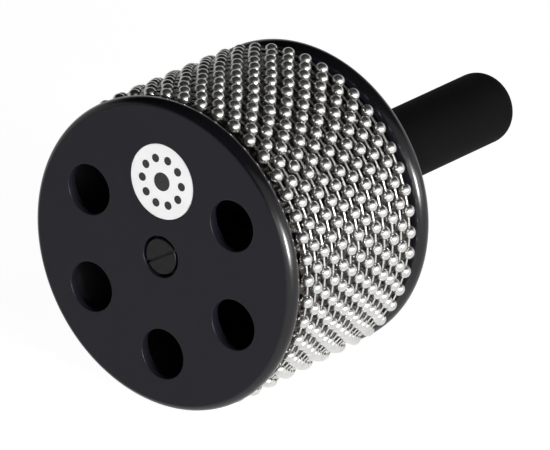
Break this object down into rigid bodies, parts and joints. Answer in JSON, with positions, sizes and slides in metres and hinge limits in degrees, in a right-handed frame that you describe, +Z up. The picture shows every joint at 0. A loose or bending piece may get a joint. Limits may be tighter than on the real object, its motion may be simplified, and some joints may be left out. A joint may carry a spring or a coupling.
{
  "type": "cabasa",
  "caption": "Hand percussion cabasa: loops of bead chain around a steel drum between two black discs, with a straight rear handle.",
  "frame": {"origin": "on the surface that the chain loops rest on, under the middle of the whole length", "axes": "+Y along the drum's axis from the perforated front disc to the handle's end, +Z up"},
  "size_m": [0.1024, 0.1756, 0.1024],
  "materials": {
    "black_disc": "satin moulded face with a glossier edge",
    "black_handle": "very matte, fine grain",
    "chain_metal": "bright nickel plate",
    "drum_steel": "embossed with fine ridges",
    "core_plastic": "matte moulded",
    "white_badge": "smooth white with a plain black dot motif",
    "black_metal": "blackened steel, worn satin",
    "insert_brass": "turned"
  },
  "bodies": {
    "drum": {"front_disc": "black_disc", "rear_disc": "black_disc", "core_tube": "core_plastic", "drum_sleeve": "drum_steel", "badge": "white_badge", "centre_bolt": "black_metal", "bolt_washer": "black_metal", "handle": "black_handle", "handle_insert": "insert_brass"},
    "chain_loop_01": {"chain_loop_01": "chain_metal"},
    "chain_loop_02": {"chain_loop_02": "chain_metal"},
    "chain_loop_03": {"chain_loop_03": "chain_metal"},
    "chain_loop_04": {"chain_loop_04": "chain_metal"},
    "chain_loop_05": {"chain_loop_05": "chain_metal"},
    "chain_loop_06": {"chain_loop_06": "chain_metal"},
    "chain_loop_07": {"chain_loop_07": "chain_metal"},
    "chain_loop_08": {"chain_loop_08": "chain_metal"},
    "chain_loop_09": {"chain_loop_09": "chain_metal"},
    "chain_loop_10": {"chain_loop_10": "chain_metal"},
    "chain_loop_11": {"chain_loop_11": "chain_metal"},
    "chain_loop_12": {"chain_loop_12": "chain_metal"},
    "chain_loop_13": {"chain_loop_13": "chain_metal"}
  },
  "joints": [
    {"name": "loop_turn_01", "type": "hinge", "parent": "drum", "child": "chain_loop_01", "pos_m": [0, -0.0782, 0.0512], "axis": [0, 1, 0], "continuous": true},
    {"name": "loop_turn_02", "type": "hinge", "parent": "drum", "child": "chain_loop_02", "pos_m": [0, -0.07382, 0.0512], "axis": [0, 1, 0], "continuous": true},
    {"name": "loop_turn_03", "type": "hinge", "parent": "drum", "child": "chain_loop_03", "pos_m": [0, -0.06944, 0.0512], "axis": [0, 1, 0], "continuous": true},
    {"name": "loop_turn_04", "type": "hinge", "parent": "drum", "child": "chain_loop_04", "pos_m": [0, -0.06506, 0.0512], "axis": [0, 1, 0], "continuous": true},
    {"name": "loop_turn_05", "type": "hinge", "parent": "drum", "child": "chain_loop_05", "pos_m": [0, -0.06068, 0.0512], "axis": [0, 1, 0], "continuous": true},
    {"name": "loop_turn_06", "type": "hinge", "parent": "drum", "child": "chain_loop_06", "pos_m": [0, -0.0563, 0.0512], "axis": [0, 1, 0], "continuous": true},
    {"name": "loop_turn_07", "type": "hinge", "parent": "drum", "child": "chain_loop_07", "pos_m": [0, -0.05192, 0.0512], "axis": [0, 1, 0], "continuous": true},
    {"name": "loop_turn_08", "type": "hinge", "parent": "drum", "child": "chain_loop_08", "pos_m": [0, -0.04754, 0.0512], "axis": [0, 1, 0], "continuous": true},
    {"name": "loop_turn_09", "type": "hinge", "parent": "drum", "child": "chain_loop_09", "pos_m": [0, -0.04316, 0.0512], "axis": [0, 1, 0], "continuous": true},
    {"name": "loop_turn_10", "type": "hinge", "parent": "drum", "child": "chain_loop_10", "pos_m": [0, -0.03878, 0.0512], "axis": [0, 1, 0], "continuous": true},
    {"name": "loop_turn_11", "type": "hinge", "parent": "drum", "child": "chain_loop_11", "pos_m": [0, -0.0344, 0.0512], "axis": [0, 1, 0], "continuous": true},
    {"name": "loop_turn_12", "type": "hinge", "parent": "drum", "child": "chain_loop_12", "pos_m": [0, -0.03002, 0.0512], "axis": [0, 1, 0], "continuous": true},
    {"name": "loop_turn_13", "type": "hinge", "parent": "drum", "child": "chain_loop_13", "pos_m": [0, -0.02564, 0.0512], "axis": [0, 1, 0], "continuous": true}
  ]
}
